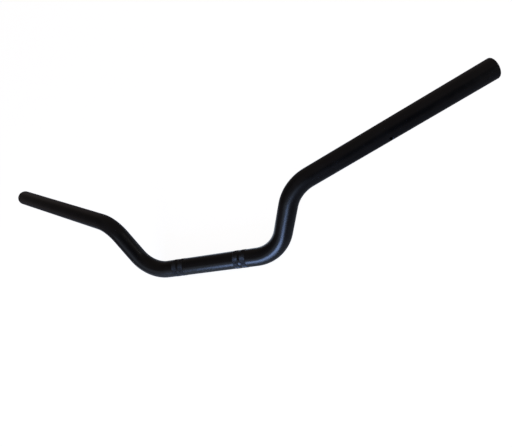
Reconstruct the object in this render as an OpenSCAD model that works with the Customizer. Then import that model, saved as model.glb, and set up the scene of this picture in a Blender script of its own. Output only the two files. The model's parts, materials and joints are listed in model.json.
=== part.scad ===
// Motorcycle handlebar: a bent steel tube with knurled clamp bands and, in each end, a rubber-mounted damper
// weight that a spring clip locks in place.
// Millimetres. The origin is the middle of the clamp stretch, on the tube's axis. X runs along the clamp stretch,
// +Y points back towards the rider and +Z points up, with the grip arms level.

/* [Tube] */
// Outside diameter of the tube
tube_d = 22.2; // [20:0.1:26]
// Wall thickness of the tube
tube_wall = 2.3; // [2:0.1:3]
// Radius of every bend, at the tube's axis
bend_radius = 45; // [36:1:60]
// Bevel on the outer edge of each tube end
end_bevel = 0.8; // [0.3:0.1:1.2]

/* [Bends and lengths] */
// Straight length between the two lower bends
clamp_stretch = 130; // [120:1:170]
// Angle by which a riser turns up out of the clamp stretch
riser_angle = 65; // [50:1:80]
// Angle by which the risers lean back from upright
riser_lean = 45; // [30:1:60]
// Straight length of a riser between its two bends
riser_stretch = 33; // [20:1:80]
// Angle by which the grip arms sweep back
arm_sweep = 22.5; // [10:0.5:32]
// Straight length of a grip arm
arm_stretch = 205; // [180:1:260]

/* [Knurled bands] */
// Distance between the middles of the two pairs of bands
clamp_spacing = 89; // [80:1:96]
// Width of one knurled band
band_w = 7; // [6:0.5:10]
// Smooth gap between the two bands of a pair
band_gap = 2.5; // [1:0.5:4]
// Height that knurling raises the surface
band_height = 0.2; // [0.16:0.01:0.3]

/* [Locking hole] */
// Diameter of the locking hole in each arm
lock_hole_d = 5; // [4.6:0.1:6]
// Distance of the locking hole from the tube's end
lock_hole_depth = 114; // [100:1:125]

/* [Damper weight] */
// Diameter of the damper weight's body
weight_d = 14; // [13:0.1:15]
// Diameter at the bottom of the weight's grooves
groove_d = 11; // [10:0.1:11.6]
// Radial gap between the weight's head and the bore
head_gap = 0.3; // [0.15:0.05:0.6]
// Length of the weight's head
head_len = 6; // [4:0.5:10]
// Distance of the head's face inside the tube's end
head_inset = 1; // [0.5:0.1:2]
// Solid tail of the weight behind the clip's groove
tail_len = 8; // [5:0.5:15]
// Tapping diameter of the thread for a bar end
thread_d = 5; // [4.2:0.1:6.8]
// Depth of that threaded hole
thread_len = 20; // [12:1:30]
// Width of the key slot across the head's face
key_slot_w = 3; // [2:0.1:4]
// Depth of the key slot
key_slot_depth = 1.6; // [1:0.1:2.5]

/* [Rubber rings] */
// Length of a rubber ring
rubber_len = 10; // [6:0.5:14]
// Gap between a rubber ring and the tube's bore
rubber_gap = 0.05; // [0.02:0.01:0.2]
// Land of the weight between its head and the outer rubber ring
outer_land = 9; // [5:0.5:20]
// Land of the weight between the inner rubber ring and the clip
inner_land = 9; // [5:0.5:20]

/* [Retainer clip] */
// Thickness of the clip's spring strip
clip_t = 0.8; // [0.5:0.1:1]
// Length of the clip's ring along the weight
clip_len = 12; // [11.5:0.5:16]
// Width of the clip's tab
tab_w = 3; // [2:0.1:3.2]
// How far the tab reaches into the tube's wall
tab_reach = 1.6; // [1:0.1:1.8]
// Opening of the clip's ring
clip_opening = 100; // [60:5:140]

/* [Hidden] */
$fn = 96;

// Clearance between pieces that slide over each other
fit_gap = 0.1;
// Extra length of a cut past the surface that it opens
cut_over = 1;
// Width of small bevels on turned edges
small_bevel = 0.5;
// Cone angle of a drill's point and of a countersink, from tip to tip
drill_point_angle = 118;
countersink_angle = 90;

tube_r = tube_d / 2;
bore_r = tube_r - tube_wall;
band_r = tube_r + band_height;
weight_r = weight_d / 2;
groove_r = groove_d / 2;
head_r = bore_r - head_gap;
thread_r = thread_d / 2;
lock_hole_r = lock_hole_d / 2;

// Directions of the limb on +X, which is the rider's left, from the clamp stretch outwards.
clamp_dir = [1, 0, 0];
riser_dir = [cos(riser_angle), sin(riser_angle) * sin(riser_lean), sin(riser_angle) * cos(riser_lean)];
arm_dir = [cos(arm_sweep), sin(arm_sweep), 0];
// The arm's front, square to the arm and level
arm_front = [sin(arm_sweep), -cos(arm_sweep), 0];
upper_bend_angle = acos(riser_dir * arm_dir);

// Length from a corner of the route to where its bend starts
function tangent_length(angle) = bend_radius * tan(angle / 2);

// Corners of the route, where the straight lines would meet, and the limb's end
lower_corner = clamp_dir * (clamp_stretch / 2 + tangent_length(riser_angle));
upper_corner = lower_corner
    + riser_dir * (tangent_length(riser_angle) + riser_stretch + tangent_length(upper_bend_angle));
arm_start = upper_corner + arm_dir * tangent_length(upper_bend_angle);
arm_end = arm_start + arm_dir * arm_stretch;

// Places along the damper, as distances inwards from the tube's end
outer_groove_at = head_inset + head_len + outer_land;
// The tab's tip stands near the side of the locking hole that faces the tube's end.
tab_half_chord = sqrt(pow(lock_hole_r, 2) - pow(tab_w / 2, 2));
tab_tip_at = lock_hole_depth - tab_half_chord + 4 * fit_gap;
clip_groove_at = lock_hole_depth - clip_len / 2;
clip_groove_end = clip_groove_at + clip_len + 2 * fit_gap;
inner_groove_at = clip_groove_at - inner_land - rubber_len;
weight_end = clip_groove_end + tail_len;

function unit(v) = v / norm(v);

// Puts a shape that lies in its own X, Y and Z at a place, with its X and Z along the given directions.
module set_at(place, x_dir, z_dir) {
    y_dir = cross(z_dir, x_dir);
    multmatrix([[x_dir.x, y_dir.x, z_dir.x, place.x],
                [x_dir.y, y_dir.y, z_dir.y, place.y],
                [x_dir.z, y_dir.z, z_dir.z, place.z],
                [0, 0, 0, 1]])
        children();
}

// A round bar from one point to another.
module rod(from, to, r) {
    along = unit(to - from);
    across = unit(cross(along, [0.3, 0.5, 1]));
    set_at(from, across, along)
        cylinder(h = norm(to - from), r = r);
}

// A bent round bar that turns from one direction to another at a corner of the route.
module bend(corner, dir_in, dir_out, r) {
    angle = acos(dir_in * dir_out);
    start = corner - dir_in * tangent_length(angle);
    inwards = unit(dir_out - dir_in * (dir_in * dir_out));
    centre = start + inwards * bend_radius;
    set_at(centre, -inwards, cross(-inwards, dir_in))
        rotate_extrude(angle = angle)
            translate([bend_radius, 0])
                circle(r = r);
}

// The limb on +X as a solid of one radius, from the middle of the clamp stretch to the arm's end.
module limb(r) {
    rod([0, 0, 0], clamp_dir * (clamp_stretch / 2), r);
    bend(lower_corner, clamp_dir, riser_dir, r);
    rod(lower_corner + riser_dir * tangent_length(riser_angle),
        upper_corner - riser_dir * tangent_length(upper_bend_angle), r);
    bend(upper_corner, riser_dir, arm_dir, r);
    rod(arm_start, arm_end, r);
}

// Puts a shape in an arm's own frame: Z runs out of the tube's end, X faces the arm's front, and the origin is
// the middle of the end. Side is 1 for the limb on +X and -1 for its mirror image.
module on_arm(side) {
    mirror([side < 0 ? 1 : 0, 0, 0])
        set_at(arm_end, arm_front, arm_dir)
            children();
}

// A turned shape about the arm's axis, from points of [radius, distance inwards from the tube's end].
module turned(profile) {
    rotate_extrude()
        polygon([for (p = profile) [p[0], -p[1]]]);
}

// The ring that an edge's bevel takes off the outside of the tube's end.
module end_bevel_cut() {
    turned([[tube_r - end_bevel, 0],
            [tube_r - end_bevel - cut_over, -cut_over],
            [tube_r + cut_over, -cut_over],
            [tube_r + cut_over, end_bevel + cut_over]]);
}

module locking_hole_cut() {
    translate([bore_r - cut_over, 0, -lock_hole_depth])
        rotate([0, 90, 0])
            cylinder(h = tube_wall + 2 * cut_over, r = lock_hole_r);
}

// The four raised bands that knurling leaves in the clamp stretch.
module knurled_bands() {
    for (pair = [-1, 1], band = [-1, 1]) {
        middle = pair * clamp_spacing / 2 + band * (band_w + band_gap) / 2;
        rod([middle - band_w / 2, 0, 0], [middle + band_w / 2, 0, 0], band_r);
    }
}

module bar_tube() {
    color("#1b1c20")
        difference() {
            union() {
                limb(tube_r);
                mirror([1, 0, 0]) limb(tube_r);
                knurled_bands();
            }
            limb(bore_r);
            mirror([1, 0, 0]) limb(bore_r);
            for (side = [-1, 1])
                on_arm(side) {
                    end_bevel_cut();
                    locking_hole_cut();
                }
        }
}

// Steel weight with a keyed head, two grooves for the rubber rings and one for the clip.
module damper_weight(side) {
    head_end = head_inset + head_len;
    outer_groove_end = outer_groove_at + rubber_len;
    inner_groove_end = inner_groove_at + rubber_len;
    color("#8d9096")
        on_arm(side)
            difference() {
                turned([[0, head_inset],
                        [head_r - small_bevel, head_inset],
                        [head_r, head_inset + small_bevel],
                        [head_r, head_end],
                        [weight_r, head_end],
                        [weight_r, outer_groove_at],
                        [groove_r, outer_groove_at],
                        [groove_r, outer_groove_end],
                        [weight_r, outer_groove_end],
                        [weight_r, inner_groove_at],
                        [groove_r, inner_groove_at],
                        [groove_r, inner_groove_end],
                        [weight_r, inner_groove_end],
                        [weight_r, clip_groove_at],
                        [groove_r, clip_groove_at],
                        [groove_r, clip_groove_end],
                        [weight_r, clip_groove_end],
                        [weight_r, weight_end - small_bevel],
                        [weight_r - small_bevel, weight_end],
                        [0, weight_end]]);
                threaded_hole_cut();
                key_slot_cut();
            }
}

// Tapped hole for a bar end, with its countersink and its drill point.
module threaded_hole_cut() {
    point_len = thread_r / tan(drill_point_angle / 2);
    sink_r = thread_r + small_bevel;
    sink_len = small_bevel / tan(countersink_angle / 2);
    turned([[0, head_inset - cut_over],
            [sink_r + cut_over * tan(countersink_angle / 2), head_inset - cut_over],
            [sink_r, head_inset],
            [thread_r, head_inset + sink_len],
            [thread_r, head_inset + thread_len],
            [0, head_inset + thread_len + point_len]]);
}

module key_slot_cut() {
    slot_len = 2 * (head_r + cut_over);
    translate([-slot_len / 2, -key_slot_w / 2, -head_inset - key_slot_depth])
        cube([slot_len, key_slot_w, key_slot_depth + cut_over]);
}

// Rubber ring that sits in a groove of the weight and steadies it in the bore.
module rubber_ring(side, groove_at) {
    crown = (bore_r - rubber_gap) - weight_r;
    crown_start = groove_at + crown;
    crown_end = groove_at + rubber_len - crown;
    color("#26282c")
        on_arm(side)
            turned([[groove_r, groove_at],
                    [weight_r, groove_at],
                    [weight_r + crown, crown_start],
                    [weight_r + crown, crown_end],
                    [weight_r, groove_at + rubber_len],
                    [groove_r, groove_at + rubber_len]]);
}

// Spring strip wrapped round the weight, with a barb that stands up into the tube's locking hole.
module retainer_clip(side) {
    strip_in = groove_r + fit_gap;
    strip_out = strip_in + clip_t;
    strip_start = clip_groove_at + fit_gap;
    strip_end = strip_start + clip_len;
    tip_r = bore_r + tab_reach;
    knee_r = bore_r - clip_t;
    opening_reach = 2 * strip_out;
    color("#b9b4a4")
        on_arm(side)
            union() {
                difference() {
                    turned([[strip_in, strip_start], [strip_out, strip_start],
                            [strip_out, strip_end], [strip_in, strip_end]]);
                    translate([0, 0, -strip_end - cut_over])
                        linear_extrude(clip_len + 2 * cut_over)
                            polygon([[0, 0],
                                     for (edge = [-1, 0, 1])
                                         [-cos(edge * clip_opening / 2), sin(edge * clip_opening / 2)]
                                             * opening_reach]);
                }
                // The barb leaves the ring at its inner end, slopes up to its knee and ends in a square tip.
                translate([0, tab_w / 2, 0])
                    rotate([90, 0, 0])
                        linear_extrude(tab_w)
                            polygon([[strip_in + clip_t / 4, -strip_end],
                                     [strip_out, -strip_end],
                                     [knee_r + clip_t, -tab_tip_at - clip_t],
                                     [tip_r, -tab_tip_at - clip_t],
                                     [tip_r, -tab_tip_at],
                                     [knee_r, -tab_tip_at],
                                     [strip_in + clip_t / 4, -strip_end + 2 * clip_t]]);
            }
}

bar_tube();
damper_weight(1);  // damper_weight_left
damper_weight(-1);  // damper_weight_right
rubber_ring(1, outer_groove_at);  // outer_rubber_ring_left
rubber_ring(-1, outer_groove_at);  // outer_rubber_ring_right
rubber_ring(1, inner_groove_at);  // inner_rubber_ring_left
rubber_ring(-1, inner_groove_at);  // inner_rubber_ring_right
retainer_clip(1);  // retainer_clip_left
retainer_clip(-1);  // retainer_clip_right
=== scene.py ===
# %% [markdown]
# A motorcycle handlebar, made the way a tube bender makes it. The steel tube is drawn straight, bent four
# times, rolled with knurled bands where the clamps grip it, drilled, and sprayed satin black. Inside each
# end sits a steel damper weight on rubber rings, locked by a spring clip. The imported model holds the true
# sizes and places. It could be dressed as it is, but its edges are razor sharp and its knurl is plain, so
# this script loads it, models the tube and the weights afresh inside its sizes, and gives every piece a
# finish.

# %% Load the frame
import json
import math

import bmesh
import bpy
from mathutils import Matrix, Vector


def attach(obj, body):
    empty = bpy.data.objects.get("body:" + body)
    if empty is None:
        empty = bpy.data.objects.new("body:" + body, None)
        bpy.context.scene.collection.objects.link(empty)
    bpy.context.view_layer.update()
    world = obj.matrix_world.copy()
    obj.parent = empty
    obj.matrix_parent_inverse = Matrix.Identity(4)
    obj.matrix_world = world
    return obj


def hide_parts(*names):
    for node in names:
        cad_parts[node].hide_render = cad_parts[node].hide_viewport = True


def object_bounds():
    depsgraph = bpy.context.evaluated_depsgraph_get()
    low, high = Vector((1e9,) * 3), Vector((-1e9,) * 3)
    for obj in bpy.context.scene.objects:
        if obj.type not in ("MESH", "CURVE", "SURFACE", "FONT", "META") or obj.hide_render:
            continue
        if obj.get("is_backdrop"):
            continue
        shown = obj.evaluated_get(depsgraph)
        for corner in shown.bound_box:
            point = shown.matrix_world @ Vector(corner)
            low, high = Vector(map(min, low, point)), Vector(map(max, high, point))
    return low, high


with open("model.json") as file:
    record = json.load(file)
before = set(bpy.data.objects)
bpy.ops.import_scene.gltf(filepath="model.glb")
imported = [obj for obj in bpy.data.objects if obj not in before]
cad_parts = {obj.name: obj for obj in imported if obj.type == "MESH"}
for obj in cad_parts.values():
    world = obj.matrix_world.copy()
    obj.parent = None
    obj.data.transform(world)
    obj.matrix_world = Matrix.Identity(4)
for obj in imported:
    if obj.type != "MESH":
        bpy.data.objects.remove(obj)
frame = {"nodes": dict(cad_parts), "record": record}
cad_low, cad_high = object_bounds()
mounts = {mount["name"]: mount for mount in frame["record"]["mounts"]}
bpy.context.scene.view_settings.view_transform = "Standard"


def short(place):
    """The numbers of a place, rounded for printing."""
    return [round(value, 4) for value in place]


print("nodes", sorted(frame["nodes"]))
print("box of the solids", short(cad_low), short(cad_high))

# %% [markdown]
# The photograph looks down across the bar from above its near arm, with the camera rolled well over to
# one side. A camera could be turned by three angles, but it is easier to read as a place, a point that it
# looks at and a roll about that line. The lens is a wide one, which makes the near arm look far thicker
# than the other. Its focal length was found in pixels of the photograph, and the sensor's width turns
# that into millimetres.

# %% Camera
CAMERA_PLACE = Vector((0.2434, -0.1592, 0.3851))
CAMERA_TARGET = Vector((0.0623, 0.0449, 0.0))
CAMERA_ROLL = math.radians(-45.9)
SENSOR_WIDTH_MM = 36.0
IMAGE_WIDTH_PIXELS = 512
FOCAL_LENGTH_PIXELS = 375
NEAREST_SEEN = 0.01

camera_data = bpy.data.cameras.new("camera")
camera_data.sensor_width = SENSOR_WIDTH_MM
camera_data.lens = SENSOR_WIDTH_MM * FOCAL_LENGTH_PIXELS / IMAGE_WIDTH_PIXELS
camera_data.clip_start = NEAREST_SEEN
camera = bpy.data.objects.new("camera", camera_data)
bpy.context.scene.collection.objects.link(camera)
level_view = (CAMERA_TARGET - CAMERA_PLACE).to_track_quat("-Z", "Y").to_matrix()
rolled_view = level_view @ Matrix.Rotation(CAMERA_ROLL, 3, "Z")
camera.matrix_world = Matrix.Translation(CAMERA_PLACE) @ rolled_view.to_4x4()
bpy.context.scene.camera = camera
print("lens", round(camera_data.lens, 2), "mm")

# %% [markdown]
# The bar's own sizes, in metres. The tube's radius and the arm's direction are read from a mount of the
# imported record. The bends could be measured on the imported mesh, but a tube is bent by a radius and an
# angle, so these repeat the sizes that the solids were built with.

# %% Sizes of the bar
MM_IN_A_METRE = 1000
TUBE_RADIUS = mounts["grip_left"]["dims"]["r_mm"] / MM_IN_A_METRE
ARM_DIR = Vector(mounts["grip_left"]["axis"]).normalized()
TUBE_WALL = 0.0023
BEND_RADIUS = 0.045
CLAMP_STRETCH = 0.130
RISER_STRETCH = 0.033
ARM_STRETCH = 0.205
RISER_ANGLE = math.radians(65)
RISER_LEAN = math.radians(45)

CLAMP_DIR = Vector((1, 0, 0))
RISER_DIR = Vector((math.cos(RISER_ANGLE),
                    math.sin(RISER_ANGLE) * math.sin(RISER_LEAN),
                    math.sin(RISER_ANGLE) * math.cos(RISER_LEAN)))
print("tube of radius", TUBE_RADIUS)
print("risers along", short(RISER_DIR), "and arms along", short(ARM_DIR))

# %% [markdown]
# A few short helpers keep the modelling readable. An operator acts on all that is selected, so each step
# first leaves one object selected and active. In edit mode the operators do the shaping, and bmesh only
# picks the points, edges and faces that they act on, by their place.

# %% Helpers for modelling


def make_active(piece):
    """Leaves one object selected and active."""
    bpy.ops.object.select_all(action="DESELECT")
    piece.select_set(True)
    bpy.context.view_layer.objects.active = piece


def start_editing(piece, mode):
    """Enters edit mode on one piece with nothing selected; mode is VERT, EDGE or FACE."""
    make_active(piece)
    bpy.ops.object.mode_set(mode="EDIT")
    bpy.ops.mesh.select_mode(type=mode)
    bpy.ops.mesh.select_all(action="DESELECT")


def stop_editing():
    bpy.ops.object.mode_set(mode="OBJECT")


def apply_place(piece):
    """Moves a piece's place, turn and scale into its mesh."""
    make_active(piece)
    bpy.ops.object.transform_apply(location=True, rotation=True, scale=True)


def select_where(piece, kind, test):
    """Selects the verts, edges or faces that pass a test, in edit mode, and returns how many did."""
    mesh = bmesh.from_edit_mesh(piece.data)
    found = [item for item in getattr(mesh, kind) if test(item)]
    for item in found:
        item.select_set(True)
    mesh.select_flush_mode()
    bmesh.update_edit_mesh(piece.data)
    return len(found)


def apply_modifier(piece, kind, **settings):
    """Adds a modifier, sets it and applies it."""
    make_active(piece)
    modifier = piece.modifiers.new(kind.lower(), kind)
    for name, value in settings.items():
        setattr(modifier, name, value)
    bpy.ops.object.modifier_apply(modifier=modifier.name)


def triangles(piece):
    return sum(len(face.vertices) - 2 for face in piece.data.polygons)


# %% [markdown]
# The bar starts as one ring of points in the middle of the clamp stretch. A curve with a round bevel
# could make the whole tube at once, but its rings would not sit where the knurled bands begin and end. A
# ring that is extruded along the straights and spun round the bends follows the real bender step by step,
# and every ring lies where it is wanted. Between two rings the tube has as many faces as a ring has
# points, and on a band each of them becomes one tooth of the knurl.

# %% Start with one ring
RING_POINTS = 72

bpy.ops.object.select_all(action="DESELECT")
bpy.ops.mesh.primitive_circle_add(vertices=RING_POINTS, radius=TUBE_RADIUS, rotation=(0, math.pi / 2, 0))
bar = bpy.context.object
bar.name = "handlebar_tube"
apply_place(bar)
print(bar.name, "starts as a ring of", len(bar.data.vertices), "points")

# %% [markdown]
# From the middle outwards, the clamp stretch has a plain part, two bands with a gap between them, and a
# plain part again. The lower bend, the riser, the upper bend and the arm follow. The spin operator needs
# the centre of a bend: it lies one bend radius from the ring's middle, on the side that the tube turns
# to. The arm is extruded in three steps, which leave a ring on either side of the locking hole.

# %% Bend one half of the bar
BEND_STEPS = 26
BAND_PAIR_PLACE = 0.0445
BAND_WIDTH = 0.007
BAND_GAP = 0.0025
LOCK_HOLE_DEPTH = 0.114
HOLE_MARGIN = 0.005


def extrude_ring(distance, direction):
    """Draws the selected ring out along a straight."""
    bpy.ops.mesh.extrude_edges_move(TRANSFORM_OT_translate={"value": direction * distance})


def ring_centre(piece):
    """Middle of the points that are selected."""
    mesh = bmesh.from_edit_mesh(piece.data)
    chosen = [point.co for point in mesh.verts if point.select]
    return sum(chosen, Vector()) / len(chosen)


def bend_ring(piece, dir_in, dir_out):
    """Spins the selected ring about the centre of a bend, from one direction to the other."""
    turn = dir_in.angle(dir_out)
    inwards = (dir_out - dir_in * dir_in.dot(dir_out)).normalized()
    centre = ring_centre(piece) + inwards * BEND_RADIUS
    bpy.ops.mesh.spin(steps=BEND_STEPS, angle=turn, center=centre, axis=dir_out.cross(dir_in))


before_bands = BAND_PAIR_PLACE - BAND_GAP / 2 - BAND_WIDTH
after_bands = CLAMP_STRETCH / 2 - BAND_PAIR_PLACE - BAND_GAP / 2 - BAND_WIDTH
start_editing(bar, "EDGE")
bpy.ops.mesh.select_all(action="SELECT")
extrude_ring(before_bands, CLAMP_DIR)
for plain_part in (BAND_GAP, after_bands):
    extrude_ring(BAND_WIDTH, CLAMP_DIR)
    extrude_ring(plain_part, CLAMP_DIR)
bend_ring(bar, CLAMP_DIR, RISER_DIR)
extrude_ring(RISER_STRETCH, RISER_DIR)
bend_ring(bar, RISER_DIR, ARM_DIR)
arm_start = ring_centre(bar)
extrude_ring(ARM_STRETCH - LOCK_HOLE_DEPTH - HOLE_MARGIN, ARM_DIR)
extrude_ring(2 * HOLE_MARGIN, ARM_DIR)
extrude_ring(LOCK_HOLE_DEPTH - HOLE_MARGIN, ARM_DIR)
arm_end = ring_centre(bar)
stop_editing()
print("arm starts", short(arm_start), "and ends", short(arm_end))

# %% [markdown]
# The other half could be bent once more, the other way round. A mirror is shorter and keeps both halves
# equal, and they meet at the middle ring and share its points. Spinning and mirroring can leave faces
# looking inwards, so the points are merged and the normals recalculated before the tube gets its wall.
# Solidify then grows the wall inwards and closes both ends with a flat rim.

# %% Mirror the half and give the tube its wall
MERGE_DISTANCE = 1e-6

apply_modifier(bar, "MIRROR", use_axis=(True, False, False), use_mirror_merge=True,
               merge_threshold=MERGE_DISTANCE)
start_editing(bar, "VERT")
bpy.ops.mesh.select_all(action="SELECT")
bpy.ops.mesh.remove_doubles(threshold=MERGE_DISTANCE)
bpy.ops.mesh.normals_make_consistent(inside=False)
stop_editing()
middle_faces = [face for face in bar.data.polygons if abs(face.center.x) < before_bands]
outward = sum(face.normal.yz.dot(face.center.yz) > 0 for face in middle_faces)
print("faces of the clamp stretch that look outwards:", outward, "of", len(middle_faces))
apply_modifier(bar, "SOLIDIFY", thickness=TUBE_WALL, offset=-1, use_even_offset=True)

# %% [markdown]
# A sawn tube is turned to a smooth rim, so the outer edge gets a rounded bevel and the bore a small one.
# A Bevel modifier would round every sharp edge alike. The operator rounds only what is selected, and the
# edges are found by place: those in the plane of an arm's end, far from the arm's axis or near it.

# %% Round the rims of both ends
OUTER_RIM = {"width": 0.0010, "steps": 4}
INNER_RIM = {"width": 0.0003, "steps": 2}
BORE_RADIUS = TUBE_RADIUS - TUBE_WALL
ON_PLANE = 1e-5
ON_CIRCLE = TUBE_WALL / 4


def on_right(point):
    """The point's mirror image on the half with positive X, where the sizes are given."""
    return Vector((abs(point.x), point.y, point.z))


def inside_end(point):
    """How far a point lies inside the plane of its arm's end."""
    return (arm_end - on_right(point)).dot(ARM_DIR)


def from_arm_axis(point):
    """Distance of a point from its arm's axis."""
    return (on_right(point) - arm_end).cross(ARM_DIR).length


def bevel_rim(piece, radius, width, steps):
    """Bevels the edges round both ends that lie on a circle of the given radius."""

    def on_rim(edge):
        in_plane = all(abs(inside_end(point.co)) < ON_PLANE for point in edge.verts)
        return in_plane and all(abs(from_arm_axis(point.co) - radius) < ON_CIRCLE for point in edge.verts)

    start_editing(piece, "EDGE")
    found = select_where(piece, "edges", on_rim)
    bpy.ops.mesh.bevel(offset=width, segments=steps, affect="EDGES")
    stop_editing()
    print("rim at radius", round(radius, 4), "has", found, "edges")


bevel_rim(bar, TUBE_RADIUS, **OUTER_RIM)
bevel_rim(bar, BORE_RADIUS, **INNER_RIM)

# %% [markdown]
# A hole in the lower front of each arm takes the barb of the clip inside. On the bench it is drilled and
# then deburred, which leaves a narrow slanting edge. A round hole doesn't follow the faces of the tube,
# so deleting faces can't make it. The bench's own tool can: a cutter with the drill's radius that widens
# just under the surface, subtracted with a Boolean modifier. The arm has a ring on either side of the
# hole, so that the cut disturbs only a short stretch of the mesh.

# %% Drill the locking holes
SIDES = {"left": 1, "right": -1}
ARM_FRONT = ARM_DIR.cross(Vector((0, 0, 1)))
LOCK_HOLE_RADIUS = 0.0025
DEBURR_WIDTH = 0.0004
DRILL_SIDES = 40
DRILL_REACH = 0.006
FACING = 0.9
lock_hole = arm_end - ARM_DIR * LOCK_HOLE_DEPTH


def to_side(vector, side):
    """A vector of the half with positive X, or its mirror image where side is -1."""
    return Vector((side * vector.x, vector.y, vector.z))


def drill_cutter(side):
    """A drill with a countersink, pointing at the arm's axis from the front; side is 1 or -1 along X."""
    axis = to_side(ARM_FRONT, side)
    length = TUBE_RADIUS - DEBURR_WIDTH
    widening = 1 + DRILL_REACH / LOCK_HOLE_RADIUS
    bpy.ops.object.select_all(action="DESELECT")
    bpy.ops.mesh.primitive_cylinder_add(vertices=DRILL_SIDES, radius=LOCK_HOLE_RADIUS, depth=length,
                                        location=to_side(lock_hole, side) + axis * length / 2,
                                        rotation=axis.to_track_quat("Z", "Y").to_euler())
    cutter = bpy.context.object
    apply_place(cutter)
    start_editing(cutter, "FACE")
    select_where(cutter, "faces", lambda face: face.normal.dot(axis) > FACING)
    bpy.ops.mesh.extrude_region_move(TRANSFORM_OT_translate={"value": axis * DRILL_REACH})
    bpy.ops.transform.resize(value=(widening, widening, widening))
    stop_editing()
    return cutter


for side in SIDES.values():
    cutter = drill_cutter(side)
    apply_modifier(bar, "BOOLEAN", operation="DIFFERENCE", solver="EXACT", object=cutter)
    bpy.data.objects.remove(cutter)
print("tube with holes", triangles(bar), "triangles")

# %% [markdown]
# Knurling is rolled into the steel: a toothed wheel presses grooves along the tube and pushes up ridges
# between them, so that the bar can't turn in its clamps. A bump map would look flat at the outline, so
# the ridges are real. One inset of each whole band presses it a little below the skin. Two more, every
# long face for itself, then raise the ridges: the first lifts steep flanks, the second a gentler crown.
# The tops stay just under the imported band.

# %% Roll the knurled bands
MID_WALL_RADIUS = TUBE_RADIUS - TUBE_WALL / 2
RIDGE_TOP = -cad_low[2] - TUBE_RADIUS
GROOVE_DEPTH = 0.00006
BAND_EDGE = 0.00010
FLANK_WIDTH = 0.00013
FLANK_HEIGHT = 0.00010
CROWN_WIDTH = 0.00026
CROWN_HEIGHT = RIDGE_TOP + GROOVE_DEPTH - FLANK_HEIGHT


def on_band(face):
    """Whether a face belongs to the outer skin of a knurled band."""
    centre = face.calc_center_median()
    from_pair = abs(abs(centre.x) - BAND_PAIR_PLACE)
    return centre.yz.length > MID_WALL_RADIUS and BAND_GAP / 2 < from_pair < BAND_GAP / 2 + BAND_WIDTH


start_editing(bar, "FACE")
ridges = select_where(bar, "faces", on_band)
bpy.ops.mesh.inset(thickness=BAND_EDGE, depth=-GROOVE_DEPTH)
bpy.ops.mesh.inset(thickness=FLANK_WIDTH, depth=FLANK_HEIGHT, use_individual=True)
bpy.ops.mesh.inset(thickness=CROWN_WIDTH, depth=CROWN_HEIGHT, use_individual=True)
stop_editing()
print("knurl:", ridges, "ridges,", round((FLANK_HEIGHT + CROWN_HEIGHT) * MM_IN_A_METRE, 3), "mm high")

# %% [markdown]
# Soft shading hides the facets of the tube, but the rims, the hole edges and the grooves of the knurl
# have to stay crisp, so edges that turn by more than an angle are kept sharp. Two numbers on every point
# of the mesh then mark places for the material: where the finish wears first, on the tops of the knurl,
# the rims and the edges of the holes, and where the skin is knurled. They could be painted by hand, but a
# rule puts them on every copy alike.

# %% Shade the bar and mark its worn and knurled places
SHARP_ANGLE = math.radians(28)
KNURL_WEAR = 0.88
WORN_RIDGE_SHARE = 0.8
WORN_RIDGE_RADIUS = TUBE_RADIUS + WORN_RIDGE_SHARE * RIDGE_TOP
HOLE_EDGE_MARGIN = 0.00005
WORN_HOLE_RADIUS = LOCK_HOLE_RADIUS + HOLE_EDGE_MARGIN

make_active(bar)
bpy.ops.object.shade_smooth_by_angle(angle=SHARP_ANGLE)


def on_worn_rim(point):
    """Whether a point lies on the rounding of an outer rim."""
    on_rounding = ON_PLANE < inside_end(point) < OUTER_RIM["width"] - ON_PLANE
    return on_rounding and from_arm_axis(point) > MID_WALL_RADIUS


def on_hole_edge(point):
    """Whether a point lies round the mouth of a locking hole."""
    offset = on_right(point) - lock_hole
    height = offset.dot(ARM_FRONT)
    return height > MID_WALL_RADIUS and (offset - ARM_FRONT * height).length < WORN_HOLE_RADIUS


def wear_of(point):
    """How far the finish has worn at a point, from 0 to 1."""
    if abs(point.x) < CLAMP_STRETCH / 2:
        return KNURL_WEAR if point.yz.length > WORN_RIDGE_RADIUS else 0.0
    return float(on_worn_rim(point) or on_hole_edge(point))


def is_knurled(point):
    """1 on a knurled band, 0 elsewhere."""
    from_middle = abs(abs(abs(point.x) - BAND_PAIR_PLACE) - BAND_GAP / 2 - BAND_WIDTH / 2)
    return float(from_middle < BAND_WIDTH / 2 - ON_PLANE)


for name, rule in (("worn_edge", wear_of), ("knurled", is_knurled)):
    mark = bar.data.attributes.new(name, "FLOAT", "POINT")
    marks = [rule(point.co) for point in bar.data.vertices]
    mark.data.foreach_set("value", marks)
    print(name, "on", sum(value > 0 for value in marks), "points")
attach(bar, "root")
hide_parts("bar_tube")
print("handlebar tube", triangles(bar), "triangles")

# %% [markdown]
# A damper weight is a rod turned on a lathe: a face with a chamfer, the head, and a thinner body with two
# grooves for the rubber rings and one for the clip. It could be stacked from cylinders, but one outline
# spun about one axis is what a lathe makes. The outline is drawn as with a pen, by extruding a single
# point from corner to corner. The weight is made upright, with the tube's end at the origin and the axis
# along Z, and set into the arms later.

# %% Turn the outside of a weight
TURNED_POINTS = 48
FACE_DEPTH = 0.001
HEAD_GAP = 0.0003
HEAD_RADIUS = BORE_RADIUS - HEAD_GAP
HEAD_LENGTH = 0.006
WEIGHT_RADIUS = 0.007
GROOVE_RADIUS = 0.0055
RING_GROOVES = ((0.016, 0.026), (0.089, 0.099))
CLIP_GROOVE = (0.108, 0.1202)
WEIGHT_END = 0.1282
CHAMFER = 0.0005
THREAD_RADIUS = mounts["bar_end_left"]["dims"]["r_mm"] / MM_IN_A_METRE
AXIS = Vector((0, 0, 1))
SMALLEST_CIRCLE = 3


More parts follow.
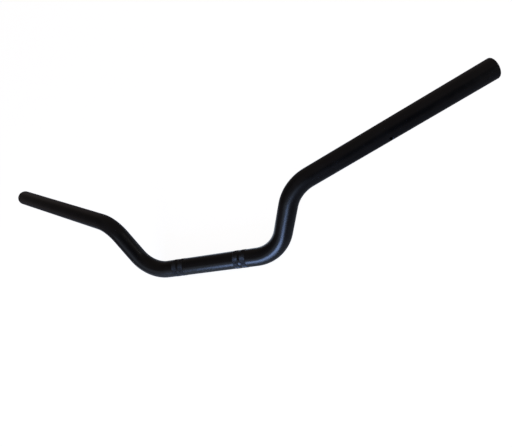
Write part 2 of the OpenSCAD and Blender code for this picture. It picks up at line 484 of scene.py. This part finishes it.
def draw_outline(name, corners):
    """Draws a line through corners of (radius, depth inside the tube's end) and leaves it selected."""
    places = [Vector((radius, 0, -depth)) for radius, depth in corners]
    bpy.ops.object.select_all(action="DESELECT")
    bpy.ops.mesh.primitive_circle_add(vertices=SMALLEST_CIRCLE, radius=CHAMFER, location=places[0])
    piece = bpy.context.object
    piece.name = name
    apply_place(piece)
    start_editing(piece, "VERT")
    bpy.ops.mesh.select_all(action="SELECT")
    bpy.ops.mesh.merge(type="CENTER")
    for here, there in zip(places, places[1:]):
        bpy.ops.mesh.extrude_vertices_move(TRANSFORM_OT_translate={"value": there - here})
    bpy.ops.mesh.select_all(action="SELECT")
    return piece


head_end = FACE_DEPTH + HEAD_LENGTH
outline = [(THREAD_RADIUS, FACE_DEPTH + CHAMFER), (THREAD_RADIUS + CHAMFER, FACE_DEPTH),
           (HEAD_RADIUS - CHAMFER, FACE_DEPTH), (HEAD_RADIUS, FACE_DEPTH + CHAMFER),
           (HEAD_RADIUS, head_end), (WEIGHT_RADIUS, head_end)]
for start, end in (*RING_GROOVES, CLIP_GROOVE):
    outline += [(WEIGHT_RADIUS, start), (GROOVE_RADIUS, start), (GROOVE_RADIUS, end), (WEIGHT_RADIUS, end)]
outline += [(WEIGHT_RADIUS, WEIGHT_END - CHAMFER), (WEIGHT_RADIUS - CHAMFER, WEIGHT_END), (0, WEIGHT_END)]
weight = draw_outline("turned_weight_left", outline)
bpy.ops.mesh.spin(steps=TURNED_POINTS, angle=2 * math.pi, center=(0, 0, 0), axis=AXIS)
stop_editing()
print("weight outline has", len(outline), "corners and makes", triangles(weight), "triangles")

# %% [markdown]
# The head is tapped for the screw of a bar end. Plain rings would look alike from a distance, but a
# thread is a small V that climbs one pitch in each turn. That is what the screw operator does with a
# line: it turns the line and moves it on by the line's own height. The threaded wall is joined to the
# weight, its mouth bridged to the countersink, and its bottom drawn to the point that a drill leaves.

# %% Tap the hole
THREAD_PITCH = 0.001
THREAD_HEIGHT = 0.0005
THREAD_TURNS = 18
DRILL_TIP = 0.0015
PLAIN_MOUTH = 0.0015
MOUTH = FACE_DEPTH + PLAIN_MOUTH
HALF_WAY = MOUTH + THREAD_TURNS * THREAD_PITCH / 2

tooth = [(THREAD_RADIUS, MOUTH), (THREAD_RADIUS + THREAD_HEIGHT, MOUTH + THREAD_PITCH / 2),
         (THREAD_RADIUS, MOUTH + THREAD_PITCH)]
thread = draw_outline("thread", tooth)
bpy.ops.mesh.screw(steps=TURNED_POINTS, turns=THREAD_TURNS, center=(0, 0, 0), axis=AXIS)
stop_editing()
make_active(weight)
thread.select_set(True)
bpy.ops.object.join()
start_editing(weight, "VERT")
bpy.ops.mesh.select_all(action="SELECT")
bpy.ops.mesh.remove_doubles(threshold=MERGE_DISTANCE)
bpy.ops.mesh.select_mode(type="EDGE")
bpy.ops.mesh.select_all(action="DESELECT")
mouth_edges = select_where(weight, "edges",
                           lambda edge: edge.is_boundary and edge.verts[0].co.z > -HALF_WAY)
bpy.ops.mesh.bridge_edge_loops()
bpy.ops.mesh.select_all(action="DESELECT")
select_where(weight, "edges", lambda edge: edge.is_boundary)
bpy.ops.mesh.extrude_edges_move(TRANSFORM_OT_translate={"value": AXIS * -DRILL_TIP})
bpy.ops.mesh.merge(type="CENTER")
bpy.ops.mesh.select_all(action="SELECT")
bpy.ops.mesh.normals_make_consistent(inside=False)
stop_editing()
print("thread of", THREAD_TURNS, "turns, bridged over", mouth_edges, "edges")

# %% [markdown]
# A slot across the face takes the key that holds the weight while a bar end is tightened. It is milled
# with a cutter whose corners have worn round. A plain block would leave razor corners, so the block that
# cuts the slot has its two lower edges bevelled first. The cut can leave faces without any width, which
# are dissolved.

# %% Mill the key slot
SLOT_WIDTH = 0.003
SLOT_DEPTH = 0.0016
SLOT_CORNER = 0.0004
SLOT_CORNER_STEPS = 3
MILL_LENGTH = 4 * HEAD_RADIUS


def on_lower_edge(edge):
    """Whether an edge of the block runs along the slot's bottom."""
    first, second = edge.verts
    along = abs(first.co.x - second.co.x) > MILL_LENGTH / 2
    return along and max(first.co.z, second.co.z) < -FACE_DEPTH


bpy.ops.object.select_all(action="DESELECT")
bpy.ops.mesh.primitive_cube_add(size=1, location=(0, 0, -FACE_DEPTH))
mill = bpy.context.object
mill.scale = (MILL_LENGTH, SLOT_WIDTH, 2 * SLOT_DEPTH)
apply_place(mill)
start_editing(mill, "EDGE")
select_where(mill, "edges", on_lower_edge)
bpy.ops.mesh.bevel(offset=SLOT_CORNER, segments=SLOT_CORNER_STEPS, affect="EDGES")
stop_editing()
apply_modifier(weight, "BOOLEAN", operation="DIFFERENCE", solver="EXACT", object=mill)
bpy.data.objects.remove(mill)
start_editing(weight, "VERT")
bpy.ops.mesh.select_all(action="SELECT")
bpy.ops.mesh.dissolve_degenerate(threshold=MERGE_DISTANCE)
stop_editing()
bpy.ops.object.shade_smooth_by_angle(angle=SHARP_ANGLE)
print("weight with slot", triangles(weight), "triangles")

# %% [markdown]
# Both arms take the same weight. A mirrored copy would have a left-hand thread, so the copy is turned
# into its place instead: each weight gets the directions of its own arm, and its place is then applied to
# its mesh.

# %% Set the weights into the arms


def set_into_arm(piece, side):
    """Moves an upright turned piece into an arm, with its X along the arm's front."""
    front, outwards = to_side(ARM_FRONT, side), to_side(ARM_DIR, side)
    turn = Matrix((front, outwards.cross(front), outwards)).transposed()
    piece.matrix_world = Matrix.Translation(to_side(arm_end, side)) @ turn.to_4x4()
    apply_place(piece)


make_active(weight)
bpy.ops.object.duplicate()
other_weight = bpy.context.object
other_weight.name = "turned_weight_right"
weights = {"left": weight, "right": other_weight}
for name, side in SIDES.items():
    set_into_arm(weights[name], side)
    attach(weights[name], "root")
    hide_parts("damper_weight_" + name)
    depth = min(inside_end(point.co) for point in weights[name].data.vertices)
    print(weights[name].name, "starts", round(depth, 4), "inside its arm's end")

# %% [markdown]
# Every finish is built from nodes. Wiring them one by one is slow to read, so these helpers start a
# material with one Principled shader and add nodes to it, and each finish below reads as a list of what
# the surface does. The Mix node has many sockets of the same name, so its colours are picked by number.

# %% Helpers for materials
FIRST_COLOUR, SECOND_COLOUR, BLENDED_COLOUR = 6, 7, 2


def new_finish(name):
    """A material with a Principled shader; returns the material, its node tree and the shader."""
    finish = bpy.data.materials.new(name)
    finish.use_nodes = True
    return finish, finish.node_tree, finish.node_tree.nodes["Principled BSDF"]


def is_socket(value):
    return isinstance(value, bpy.types.NodeSocket)


def set_inputs(tree, node, inputs):
    """Sets numbers on the sockets of a node, or links sockets of other nodes to them."""
    for name, value in inputs.items():
        if is_socket(value):
            tree.links.new(value, node.inputs[name])
        else:
            node.inputs[name].default_value = value


def add_node(tree, kind, inputs, **settings):
    """Adds a node with its settings and inputs."""
    node = tree.nodes.new(kind)
    for name, value in settings.items():
        setattr(node, name, value)
    set_inputs(tree, node, inputs)
    return node


def calculate(tree, operation, first, second=0):
    """A Math node on one or two numbers or sockets."""
    return add_node(tree, "ShaderNodeMath", {0: first, 1: second}, operation=operation).outputs["Value"]


def combine(tree, operation, first, second=(0, 0, 0), result="Vector"):
    """A Vector Math node on one or two vectors or sockets; result is Vector or Value."""
    node = add_node(tree, "ShaderNodeVectorMath", {0: first, 1: second}, operation=operation)
    return node.outputs[result]


def blend(tree, share, first, second):
    """Goes from the first number to the second with the share."""
    return add_node(tree, "ShaderNodeMix", {"Factor": share, "A": first, "B": second}).outputs["Result"]


def blend_colour(tree, share, first, second):
    """Goes from the first colour to the second with the share."""
    inputs = {"Factor": share}
    for socket, colour in ((FIRST_COLOUR, first), (SECOND_COLOUR, second)):
        inputs[socket] = colour if is_socket(colour) else (*colour, 1)
    return add_node(tree, "ShaderNodeMix", inputs, data_type="RGBA").outputs[BLENDED_COLOUR]


def spread(tree, value, source, target):
    """Maps one range of a value onto another range, and holds it there."""
    inputs = {"Value": value, "From Min": source[0], "From Max": source[1],
              "To Min": target[0], "To Max": target[1]}
    return add_node(tree, "ShaderNodeMapRange", inputs).outputs["Result"]


# %% [markdown]
# Real surfaces are never even, so each finish starts from soft random values: large clouds for colour and
# gloss, and fine grain for the skin. They are read at the piece's own Object coordinates, because these
# stay with the piece in every view and need no unwrapping. Most values of such a noise lie near its
# middle, in the ranges named here.

# %% Helpers for uneven surfaces
NOISE_MIDDLE = (0.35, 0.65)
NOISE_WIDE = (0.3, 0.7)
WHOLE = (0, 1)


def object_place(tree):
    return add_node(tree, "ShaderNodeTexCoord", {}).outputs["Object"]


def noise(tree, place, scale, detail):
    """Soft random values over a piece; scale is in spots to the metre."""
    return add_node(tree, "ShaderNodeTexNoise",
                    {"Vector": place, "Scale": scale, "Detail": detail}).outputs["Fac"]


def attribute(tree, name):
    """A number that the mesh carries on every point."""
    return add_node(tree, "ShaderNodeAttribute", {}, attribute_name=name).outputs["Fac"]


def bump(tree, height, strength, distance, over=None):
    """A normal that is roughened by a height, over the normal of a coarser bump if there is one."""
    inputs = {"Height": height, "Strength": strength, "Distance": distance}
    if over is not None:
        inputs["Normal"] = over
    return add_node(tree, "ShaderNodeBump", inputs).outputs["Normal"]


# %% [markdown]
# The bar is sprayed satin black. One dark colour with one gloss would look like plastic. Such paint dries
# with a fine orange-peel skin, a little more matt in some places than in others, and it carries specks of
# dust. On the knurl it is a little rougher. Where it has worn through, on the marked edges, the steel
# under it shows dull, in the spots that a fine grain picks.

# %% Satin black paint
PAINT_DEEP = (0.0022, 0.0022, 0.0025)
PAINT_PALE = (0.0048, 0.0046, 0.0048)
PAINT_GLOSS = (0.25, 0.29)
KNURL_ROUGHNESS = 0.36
PAINT_CLOUDS = {"scale": 60, "detail": 4}
PAINT_PEEL = {"scale": 900, "detail": 2}
PAINT_GRAIN = {"scale": 4200, "detail": 3}
PEEL_BUMP = {"strength": 0.05, "distance": 0.0002}
PAINT_GRAIN_BUMP = {"strength": 0.03, "distance": 0.0001}
DUST = (0.05, 0.048, 0.045)
DUST_SPECKS = 420
SPECK_EDGE = (0.05, 0.10)
DUSTY_CLOUDS = (0.52, 0.66)
DUST_COVER = 0.7
WORN_STEEL = (0.16, 0.16, 0.17)
WEAR_SHOWS = (0.55, 0.95)
BARE_GRAIN = (0.40, 0.62)
BARE_COVER = 0.8
BARE_METAL = 0.8


def satin_black_paint():
    finish, tree, shader = new_finish("satin_black_paint")
    place = object_place(tree)
    clouds = noise(tree, place, **PAINT_CLOUDS)
    grain = noise(tree, place, **PAINT_GRAIN)
    specks = add_node(tree, "ShaderNodeTexVoronoi", {"Vector": place, "Scale": DUST_SPECKS})
    speck = spread(tree, specks.outputs["Distance"], SPECK_EDGE, (1, 0))
    dust = calculate(tree, "MULTIPLY", speck, spread(tree, clouds, DUSTY_CLOUDS, (0, DUST_COVER)))
    wear = spread(tree, attribute(tree, "worn_edge"), WEAR_SHOWS, WHOLE)
    bare = calculate(tree, "MULTIPLY", wear, spread(tree, grain, BARE_GRAIN, (0, BARE_COVER)))
    shade = spread(tree, clouds, NOISE_MIDDLE, WHOLE)
    colour = blend_colour(tree, shade, PAINT_DEEP, PAINT_PALE)
    colour = blend_colour(tree, dust, colour, DUST)
    colour = blend_colour(tree, bare, colour, WORN_STEEL)
    gloss = spread(tree, clouds, NOISE_WIDE, PAINT_GLOSS)
    skin = bump(tree, noise(tree, place, **PAINT_PEEL), **PEEL_BUMP)
    set_inputs(tree, shader, {
        "Base Color": colour,
        "Roughness": blend(tree, attribute(tree, "knurled"), gloss, KNURL_ROUGHNESS),
        "Metallic": calculate(tree, "MULTIPLY", bare, BARE_METAL),
        "Normal": bump(tree, grain, over=skin, **PAINT_GRAIN_BUMP),
    })
    return finish


def dress(pieces, finish):
    """Gives pieces one finish in place of any that they have."""
    for piece in pieces:
        piece.data.materials.clear()
        piece.data.materials.append(finish)
    print(finish.name, "on", [piece.name for piece in pieces])


dress([bar], satin_black_paint())

# %% [markdown]
# The weights are zinc plated: a bright grey with fine rings from the lathe, which catch the light in a
# bow tie across the face. Anisotropic gloss would give the bow tie without the rings, and a bump of real
# rings gives both. They follow a point's distance from the arm's axis, which is the length of the cross
# product of its place, seen from the arm's end, and the arm's direction.

# %% Zinc plated steel
ZINC_DEEP = (0.36, 0.37, 0.39)
ZINC_PALE = (0.52, 0.53, 0.54)
ZINC_GLOSS = (0.28, 0.46)
ZINC_CLOUDS = {"scale": 260, "detail": 4}
ZINC_GRAIN = {"scale": 3000, "detail": 3}
ZINC_GRAIN_BUMP = {"strength": 0.1, "distance": 0.00005}
LATHE_PITCH = 0.00016
LATHE_BUMP = {"strength": 0.15, "distance": 0.00004}


def lathe_rings(tree, place, side):
    """A wave that goes up and down once for each pitch away from an arm's axis."""
    from_end = combine(tree, "SUBTRACT", place, to_side(arm_end, side))
    square_off = combine(tree, "CROSS_PRODUCT", from_end, to_side(ARM_DIR, side))
    radius = combine(tree, "LENGTH", square_off, result="Value")
    turns = calculate(tree, "MULTIPLY", radius, 2 * math.pi / LATHE_PITCH)
    return calculate(tree, "SINE", turns)


def zinc_plated_steel(name, side):
    finish, tree, shader = new_finish("zinc_plated_steel_" + name)
    place = object_place(tree)
    clouds = noise(tree, place, **ZINC_CLOUDS)
    shade = spread(tree, clouds, NOISE_MIDDLE, WHOLE)
    rings = bump(tree, lathe_rings(tree, place, side), **LATHE_BUMP)
    set_inputs(tree, shader, {
        "Base Color": blend_colour(tree, shade, ZINC_DEEP, ZINC_PALE),
        "Roughness": spread(tree, clouds, NOISE_WIDE, ZINC_GLOSS),
        "Metallic": 1,
        "Normal": bump(tree, noise(tree, place, **ZINC_GRAIN), over=rings, **ZINC_GRAIN_BUMP),
    })
    return finish


for name, side in SIDES.items():
    dress([weights[name]], zinc_plated_steel(name, side))

# %% [markdown]
# The rings are moulded rubber: nearly black and quite matt, with a dusty bloom that comes and goes over
# the skin. They sit hidden between the weight and the tube, so there is no need to model them afresh: the
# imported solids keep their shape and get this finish.

# %% Moulded rubber
RUBBER_DEEP = (0.010, 0.010, 0.010)
RUBBER_BLOOM = (0.030, 0.029, 0.028)
RUBBER_GLOSS = (0.62, 0.85)
BLOOM_CLOUDS = {"scale": 700, "detail": 5}
BLOOM_SHOWS = (0.4, 0.7)
RUBBER_GRAIN = {"scale": 5000, "detail": 2}
RUBBER_BUMP = {"strength": 0.25, "distance": 0.0001}


def moulded_rubber():
    finish, tree, shader = new_finish("moulded_rubber")
    place = object_place(tree)
    bloom = noise(tree, place, **BLOOM_CLOUDS)
    shade = spread(tree, bloom, BLOOM_SHOWS, WHOLE)
    set_inputs(tree, shader, {
        "Base Color": blend_colour(tree, shade, RUBBER_DEEP, RUBBER_BLOOM),
        "Roughness": spread(tree, bloom, NOISE_WIDE, RUBBER_GLOSS),
        "Normal": bump(tree, noise(tree, place, **RUBBER_GRAIN), **RUBBER_BUMP),
    })
    return finish


ring_nodes = [f"{place}_rubber_ring_{name}" for name in SIDES for place in ("outer", "inner")]
dress([frame["nodes"][node] for node in ring_nodes], moulded_rubber())

# %% [markdown]
# The clips are spring strip, which is hardened and then blued in the fire. The heat leaves it dark blue
# in some places and brown in others, so two metal colours are mixed by soft clouds. Only the barb of a
# clip shows, in its locking hole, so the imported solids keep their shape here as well.

# %% Blued spring steel
SPRING_BLUE = (0.06, 0.065, 0.085)
SPRING_BROWN = (0.11, 0.085, 0.06)
SPRING_GLOSS = (0.3, 0.45)
HEAT_CLOUDS = {"scale": 320, "detail": 3}
SPRING_GRAIN = {"scale": 3600, "detail": 3}
SPRING_BUMP = {"strength": 0.1, "distance": 0.00005}


def blued_spring_steel():
    finish, tree, shader = new_finish("blued_spring_steel")
    place = object_place(tree)
    heat = noise(tree, place, **HEAT_CLOUDS)
    shade = spread(tree, heat, NOISE_MIDDLE, WHOLE)
    grain = noise(tree, place, **SPRING_GRAIN)
    set_inputs(tree, shader, {
        "Base Color": blend_colour(tree, shade, SPRING_BLUE, SPRING_BROWN),
        "Roughness": spread(tree, grain, NOISE_WIDE, SPRING_GLOSS),
        "Metallic": 1,
        "Normal": bump(tree, grain, **SPRING_BUMP),
    })
    return finish


dress([frame["nodes"]["retainer_clip_" + name] for name in SIDES], blued_spring_steel())

# %% [markdown]
# The photograph's background is white, but the black paint mirrors a dim room. One strength for floor and
# room can't give both, so the Light Path node tells the rays apart: the camera sees white, gloss and
# glass see what the paint mirrors, and the light itself is a third number.

# %% Tell the rays apart


def seen_by_camera(tree):
    """1 where the camera itself looks, 0 for every other ray."""
    return add_node(tree, "ShaderNodeLightPath", {}).outputs["Is Camera Ray"]


def by_ray(tree, seen, mirrored, lit):
    """A strength for what the camera sees, one for what gloss and glass show, and one for light itself."""
    path = add_node(tree, "ShaderNodeLightPath", {}).outputs
    by_gloss = calculate(tree, "MAXIMUM", path["Is Glossy Ray"], path["Is Transmission Ray"])
    return blend(tree, path["Is Camera Ray"], blend(tree, by_gloss, lit, mirrored), seen)


# %% [markdown]
# The bar stands on a plain, polished floor. Its own pale paint is lit by the lamps, and there the bar's
# shadow shows. Three soft pools of light are painted on it as a cool glow that only reflections see: a
# wide one in front of the bar, a small one close behind the clamp stretch and one behind the near arm.
# The tube mirrors them along its edges as painted reflections. Lamps could do that too, but they would
# light the paint and the floor as well, and the painted glow doesn't.

# %% Floor
FLOOR_HALF = 4.0
FLOOR_GREY = 0.45
FLOOR_ROUGHNESS = 0.25
FLOOR_GLOW = 0.93
WHITE = (1, 1, 1)
POOL_CORE = 0.33
PAINTED_POOL_COLOUR = (0.70, 0.82, 1.0)
FRONT_POOL = {"middle": (-0.10, -0.10, 0), "reach": (0.36, 0.36, 1), "glow": 0.30}
CLAMP_POOL = {"middle": (0.02, 0.036, 0), "reach": (0.10, 0.042, 1), "glow": 1.0}
ARM_POOL = {"middle": (0.13, 0.14, 0), "reach": (0.11, 0.10, 1), "glow": 1.0}


def painted_light_pool(tree, place, middle, reach, glow):
    """Painted light on the floor: a glow that is full in the core of an ellipse and gone at its rim."""
    centred = add_node(tree, "ShaderNodeMapping", {"Vector": place, "Location": middle, "Scale": reach},
                       vector_type="TEXTURE")
    away = combine(tree, "LENGTH", centred.outputs["Vector"], result="Value")
    return spread(tree, away, (POOL_CORE, 1), (glow, 0))


def white_floor():
    finish, tree, shader = new_finish("white_floor")
    place = object_place(tree)
    pools = 0
    for pool in (FRONT_POOL, CLAMP_POOL, ARM_POOL):
        pools = calculate(tree, "ADD", painted_light_pool(tree, place, **pool), pools)
    set_inputs(tree, shader, {
        "Base Color": (FLOOR_GREY, FLOOR_GREY, FLOOR_GREY, 1),
        "Roughness": FLOOR_ROUGHNESS,
        # painted reflections: the pools glow cool only for gloss and glass, and the camera sees an even
        # white
        "Emission Color": blend_colour(tree, seen_by_camera(tree), PAINTED_POOL_COLOUR, WHITE),
        "Emission Strength": by_ray(tree, FLOOR_GLOW, pools, 0),
    })
    return finish


bpy.ops.object.select_all(action="DESELECT")
bpy.ops.mesh.primitive_plane_add(size=2 * FLOOR_HALF, location=(0, 0, cad_low[2]))
floor = bpy.context.object
floor.name = "floor"
dress([floor], white_floor())
floor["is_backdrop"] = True
print("floor at", round(cad_low[2], 4))

# %% [markdown]
# The room round the bar is dim and a little warm, so that the arms show a dull warm black. It is darker
# still in two corners, one high in front of the near arm and one beyond the far arm. An image of a room
# could light the scene, but two directions with a soft fall-off round them say the same and can be read.

# %% Room
ROOM_LIGHT = 0.12
ROOM_COLOUR = (1.0, 0.86, 0.84)
DARK_CORNERS = ({"azimuth": 48, "elevation": 36, "darkest": 0.1},
                {"azimuth": -106, "elevation": 30, "darkest": 0.5})
CORNER_INNER = math.cos(math.radians(14))
CORNER_OUTER = math.cos(math.radians(36))


def towards(azimuth, elevation):
    """A direction from the bar; azimuth 0 is straight in front, positive towards the near arm."""
    turn, lift = math.radians(azimuth), math.radians(elevation)
    return Vector((math.sin(turn) * math.cos(lift), -math.cos(turn) * math.cos(lift), math.sin(lift)))


world = bpy.data.worlds.new("room")
world.use_nodes = True
bpy.context.scene.world = world
room = world.node_tree
direction = add_node(room, "ShaderNodeTexCoord", {}).outputs["Generated"]
mirrored = ROOM_LIGHT
for corner in DARK_CORNERS:
    middle = towards(corner["azimuth"], corner["elevation"])
    nearness = combine(room, "DOT_PRODUCT", direction, middle, result="Value")
    share = spread(room, nearness, (CORNER_OUTER, CORNER_INNER), (1, corner["darkest"]))
    mirrored = calculate(room, "MULTIPLY", share, mirrored)
set_inputs(room, room.nodes["Background"], {
    "Color": blend_colour(room, seen_by_camera(room), ROOM_COLOUR, WHITE),
    "Strength": by_ray(room, 1.0, mirrored, ROOM_LIGHT),
})
print(world.name, "with", len(DARK_CORNERS), "dark corners")

# %% [markdown]
# An area lamp's streak on paint is the lamp's own mirror image, so a lamp's place and size follow from
# where its streak lies on the tube. One cool window, low in front of the bar, draws the long streak on
# the clamp stretch and the lower bends. Its narrow upper part carries the streak on up the near riser,
# and the pale wall round it gives the streak a soft edge. A plainer window at the near arm's side lights
# the bar for views from behind. Point lamps would be simpler, but they leave only dots on a tube.

# %% Lamps
WINDOW_COLOUR = (0.36, 0.54, 1.0)
WALL_COLOUR = (0.72, 0.85, 1.0)
SIDE_COLOUR = (0.94, 0.97, 1.0)


def area_lamp(name, azimuth, elevation, distance, size, radiance, colour):
    """An area lamp that faces the bar from a direction; size is its width and height."""
    width, height = size
    away = towards(azimuth, elevation)
    data = bpy.data.lights.new(name, "AREA")
    data.shape = "RECTANGLE"
    data.size = width
    data.size_y = height
    data.color = colour
    data.energy = radiance * math.pi * width * height
    lamp = bpy.data.objects.new(name, data)
    facing = away.to_track_quat("Z", "Y").to_matrix().to_4x4()
    lamp.matrix_world = Matrix.Translation(away * distance) @ facing
    lamp.visible_camera = False
    bpy.context.scene.collection.objects.link(lamp)
    print(name, "gives", round(data.energy, 2), "W")


area_lamp("window", azimuth=-10, elevation=7.4, distance=1.40, size=(0.93, 0.43), radiance=9.6,
          colour=WINDOW_COLOUR)
area_lamp("window_top", azimuth=-4, elevation=21, distance=1.40, size=(0.40, 0.28), radiance=7.2,
          colour=WINDOW_COLOUR)
area_lamp("pale_wall", azimuth=-14, elevation=22, distance=1.50, size=(1.70, 1.24), radiance=0.42,
          colour=WALL_COLOUR)
area_lamp("side_window", azimuth=98, elevation=12, distance=1.60, size=(0.80, 0.42), radiance=2.2,
          colour=SIDE_COLOUR)

# %% [markdown]
# A dressed model has to keep to the size of the part. The eye can't tell a millimetre, so the box of the
# finished model is set beside the box of the imported one, and the largest growth is printed.

# %% Compare the sizes and finish
new_low, new_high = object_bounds()
growth = [max(cad_low[i] - new_low[i], new_high[i] - cad_high[i]) for i in range(3)]
print("largest growth of the box", round(max(growth), 6))
